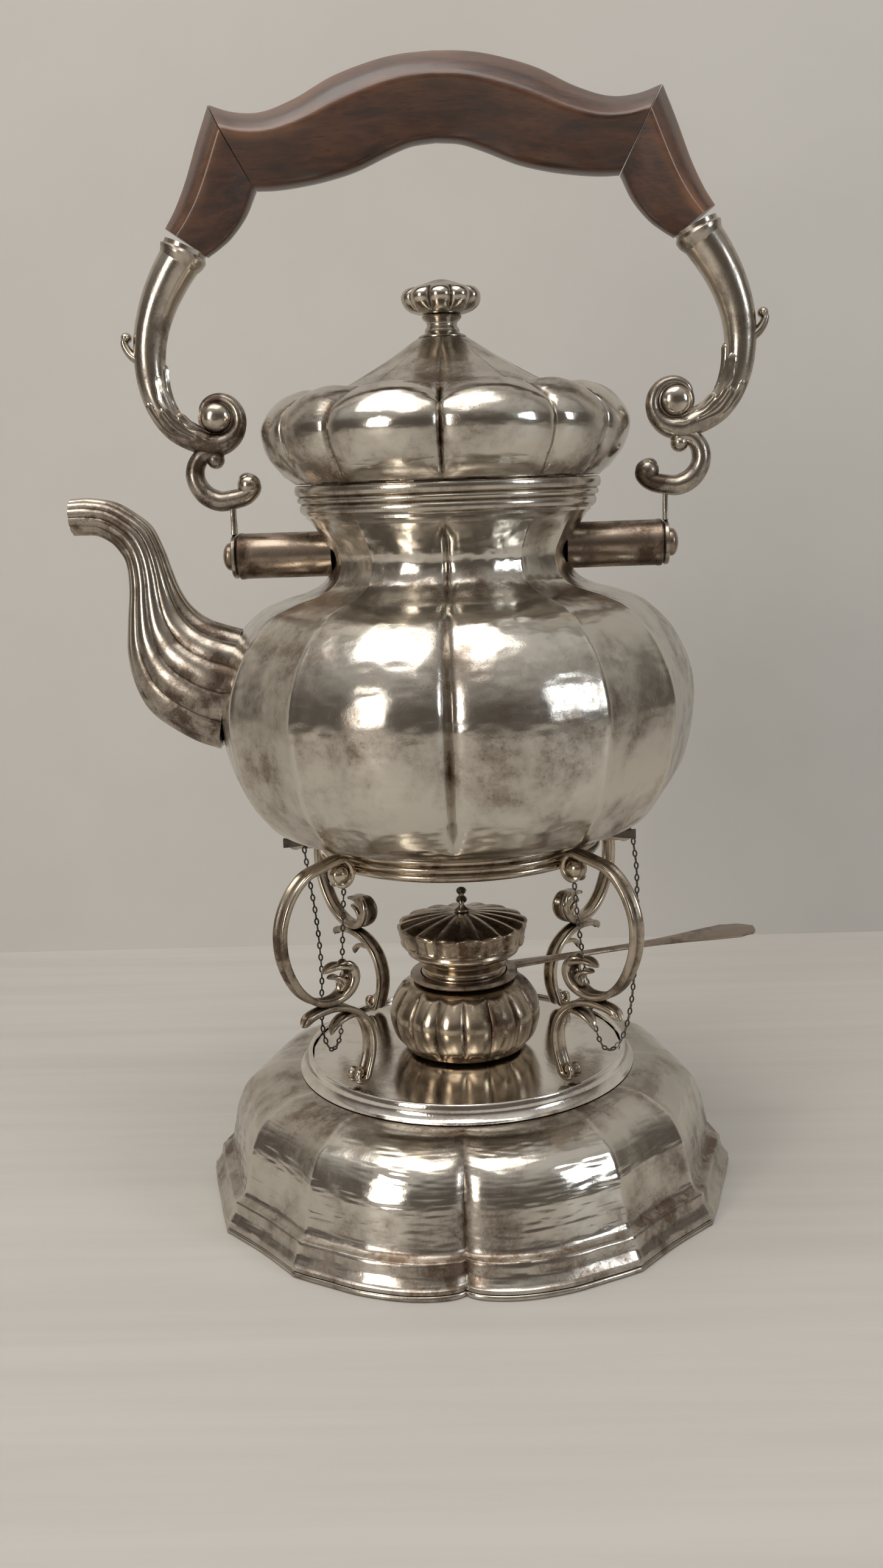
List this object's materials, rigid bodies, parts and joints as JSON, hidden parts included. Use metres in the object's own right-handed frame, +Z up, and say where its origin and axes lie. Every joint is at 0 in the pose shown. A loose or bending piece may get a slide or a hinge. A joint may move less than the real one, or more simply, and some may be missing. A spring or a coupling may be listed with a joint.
{
  "type": "spirit kettle",
  "caption": "Lobed spirit kettle with spout, lift-off lid and swinging wooden bail handle, hinged on a scroll-legged burner stand.",
  "frame": {"origin": "centre of the footprint on the table: halfway between the spout's tip and the burner lever's tip, on the plane of the foot rim", "axes": "+Z up, -X towards the spout, -Y towards the front seam"},
  "size_m": [0.257, 0.1996, 0.41],
  "materials": {
    "silver": "worn silver plate, polished, with brown tarnish near the seams",
    "worn_gilt": "silver plate worn to brownish gold",
    "tarnished_silver": "silver plate, brown tarnish",
    "black_steel": "blackened",
    "coppery_brass": "worn plate over brass",
    "wick_cotton": "twisted cotton",
    "dark_wood": "carved hardwood, oiled"
  },
  "bodies": {
    "stand": {"base_shell": "silver", "base_foot_rim": "silver", "gallery_collar": "silver", "mirror_plate": "silver", "stand_ring": "worn_gilt", "leg_back_right_upper_scroll": "worn_gilt", "leg_back_right_lower_scroll": "worn_gilt", "leg_back_left_upper_scroll": "worn_gilt", "leg_back_left_lower_scroll": "worn_gilt", "leg_front_left_upper_scroll": "worn_gilt", "leg_front_left_lower_scroll": "worn_gilt", "leg_front_right_upper_scroll": "worn_gilt", "leg_front_right_lower_scroll": "worn_gilt", "ring_lug_left": "worn_gilt", "ring_lug_right": "worn_gilt", "chain_staple_left": "worn_gilt", "chain_staple_right": "worn_gilt", "pin_chain_left": "black_steel", "pin_chain_right": "black_steel"},
    "kettle": {"kettle_body": "silver", "mouth_moulding": "silver", "kettle_foot_ring": "tarnished_silver", "kettle_spout": "silver", "trunnion_tube_left": "tarnished_silver", "trunnion_tube_right": "tarnished_silver", "pivot_screw_left": "tarnished_silver", "pivot_screw_right": "tarnished_silver", "kettle_lug_left": "tarnished_silver", "kettle_lug_right": "tarnished_silver"},
    "lid": {"lid_shell": "silver", "lid_flange": "tarnished_silver", "knob_stem": "silver", "lid_knob": "silver", "knob_nut": "coppery_brass"},
    "handle": {"grip_bar": "dark_wood", "grip_end_left": "dark_wood", "grip_end_right": "dark_wood", "handle_arm_left": "silver", "handle_arm_right": "silver", "swivel_bracket_left": "silver", "swivel_bracket_right": "silver"},
    "left_pin": {"hinge_pin_left": "black_steel"},
    "right_pin": {"hinge_pin_right": "black_steel"},
    "burner": {"burner_bowl": "coppery_brass", "burner_neck": "coppery_brass", "wick_tube": "coppery_brass", "wick": "wick_cotton", "burner_lever": "silver"},
    "snuffer": {"snuffer_cap": "coppery_brass", "snuffer_finial": "silver"}
  },
  "joints": [
    {"name": "kettle_tilt", "type": "hinge", "parent": "stand", "child": "kettle", "pos_m": [-0.0526, 0, 0.1355], "axis": [0, -1, 0], "range_deg": [0, 60]},
    {"name": "lid_lift", "type": "slide", "parent": "kettle", "child": "lid", "axis": [0, 0, 1], "range_m": [0, 0.038]},
    {"name": "handle_swing", "type": "hinge", "parent": "kettle", "child": "handle", "pos_m": [0.0089, 0, 0.242], "axis": [1, 0, 0], "range_deg": [-120, 120]},
    {"name": "left_pin_slide", "type": "slide", "parent": "stand", "child": "left_pin", "axis": [0, -1, 0], "range_m": [0, 0.022], "deforming": ["pin_chain_left"]},
    {"name": "right_pin_slide", "type": "slide", "parent": "stand", "child": "right_pin", "axis": [0, -1, 0], "range_m": [0, 0.022], "deforming": ["pin_chain_right"]},
    {"name": "burner_slide", "type": "slide", "parent": "stand", "child": "burner", "axis": [0.9976, 0, 0.0698], "range_m": [0, 0.11]},
    {"name": "snuffer_lift", "type": "slide", "parent": "burner", "child": "snuffer", "axis": [0, 0, 1], "range_m": [0, 0.01]}
  ]
}
